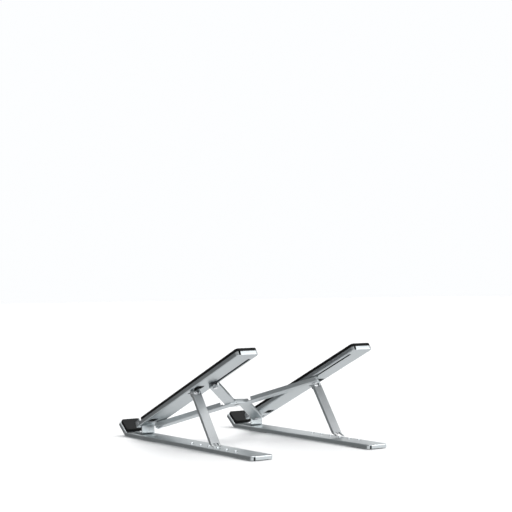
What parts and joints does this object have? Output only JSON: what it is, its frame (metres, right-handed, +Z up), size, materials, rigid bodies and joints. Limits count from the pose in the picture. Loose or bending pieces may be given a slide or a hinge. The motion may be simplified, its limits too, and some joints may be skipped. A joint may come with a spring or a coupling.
{
  "type": "laptop stand",
  "caption": "Folding laptop stand: channel rails with turned-up lips, hinged padded arms held up by struts in notches, joined by a scissor of dog-leg bars.",
  "frame": {"origin": "on the table under the middle of the footprint, with the stand open", "axes": "+X to the right seen from the front, +Y towards the rear, so the lips are at -Y, +Z up"},
  "size_m": [0.1646, 0.2518, 0.1038],
  "materials": {
    "anodised_aluminium": "fine bead-blasted, silver anodised, satin",
    "silicone": "matte moulded silicone",
    "steel": "bright turned and headed",
    "nylon": "moulded, satin"
  },
  "bodies": {
    "right_base": {"rail_right": "anodised_aluminium", "lip_pad_right": "silicone", "foot_front_right": "silicone", "foot_rear_right": "silicone", "hinge_bracket_right": "anodised_aluminium", "bracket_rivet_inner_right": "steel", "bracket_rivet_outer_right": "steel", "hinge_pin_right": "steel"},
    "right_arm": {"arm_right": "anodised_aluminium", "arm_pad_right": "silicone", "strut_pin_right": "steel", "pivot_rivet_right": "steel", "pivot_spacer_right": "nylon"},
    "right_strut": {"strut_right": "anodised_aluminium"},
    "lower_bar": {"bar_lower": "anodised_aluminium", "centre_rivet": "steel", "slider_pin_left": "steel", "slider_washer_left": "nylon"},
    "upper_bar": {"bar_upper": "anodised_aluminium", "slider_pin_right": "steel", "slider_washer_right": "nylon"},
    "left_arm": {"arm_left": "anodised_aluminium", "arm_pad_left": "silicone", "strut_pin_left": "steel", "pivot_rivet_left": "steel", "pivot_spacer_left": "nylon"},
    "left_strut": {"strut_left": "anodised_aluminium"},
    "left_base": {"rail_left": "anodised_aluminium", "lip_pad_left": "silicone", "foot_front_left": "silicone", "foot_rear_left": "silicone", "hinge_bracket_left": "anodised_aluminium", "bracket_rivet_inner_left": "steel", "bracket_rivet_outer_left": "steel", "hinge_pin_left": "steel"}
  },
  "joints": [
    {"name": "arm_tilt", "type": "hinge", "parent": "right_base", "child": "right_arm", "pos_m": [0.06975, -0.0836, 0.01718], "axis": [1, 0, 0], "range_deg": [-24.16, 4.6]},
    {"name": "strut_right_swing", "type": "hinge", "parent": "right_arm", "child": "right_strut", "pos_m": [0.07415, 0.01659, 0.05527], "axis": [1, 0, 0], "range_deg": [-14.6, 76.6]},
    {"name": "width_fold", "type": "hinge", "parent": "right_arm", "child": "lower_bar", "pos_m": [0.0617, -0.073, 0.01799], "axis": [0, 0.4093, -0.9124], "range_deg": [0, 42.96]},
    {"name": "bar_crossing", "type": "hinge", "parent": "lower_bar", "child": "upper_bar", "pos_m": [0, -0.02057, 0.04151], "axis": [0, 0.4093, -0.9124], "range_deg": [-85.96, 0]},
    {"name": "arm_left_pivot", "type": "hinge", "parent": "upper_bar", "child": "left_arm", "pos_m": [-0.0617, -0.073, 0.01799], "axis": [0, 0.4093, -0.9124], "range_deg": [0, 42.98]},
    {"name": "strut_left_swing", "type": "hinge", "parent": "left_arm", "child": "left_strut", "pos_m": [-0.07675, 0.01659, 0.05527], "axis": [1, 0, 0], "range_deg": [-14.6, 76.6]},
    {"name": "base_left_hinge", "type": "hinge", "parent": "left_arm", "child": "left_base", "pos_m": [-0.06975, -0.0836, 0.01718], "axis": [1, 0, 0], "range_deg": [-4.62, 24.2]}
  ],
  "couplings": [
    {"joint": "strut_right_swing", "follows": "arm_tilt", "ratio": -3.168},
    {"joint": "strut_left_swing", "follows": "arm_tilt", "ratio": -3.168},
    {"joint": "base_left_hinge", "follows": "arm_tilt", "ratio": -1},
    {"joint": "bar_crossing", "follows": "width_fold", "ratio": -2},
    {"joint": "arm_left_pivot", "follows": "width_fold", "ratio": 1}
  ]
}
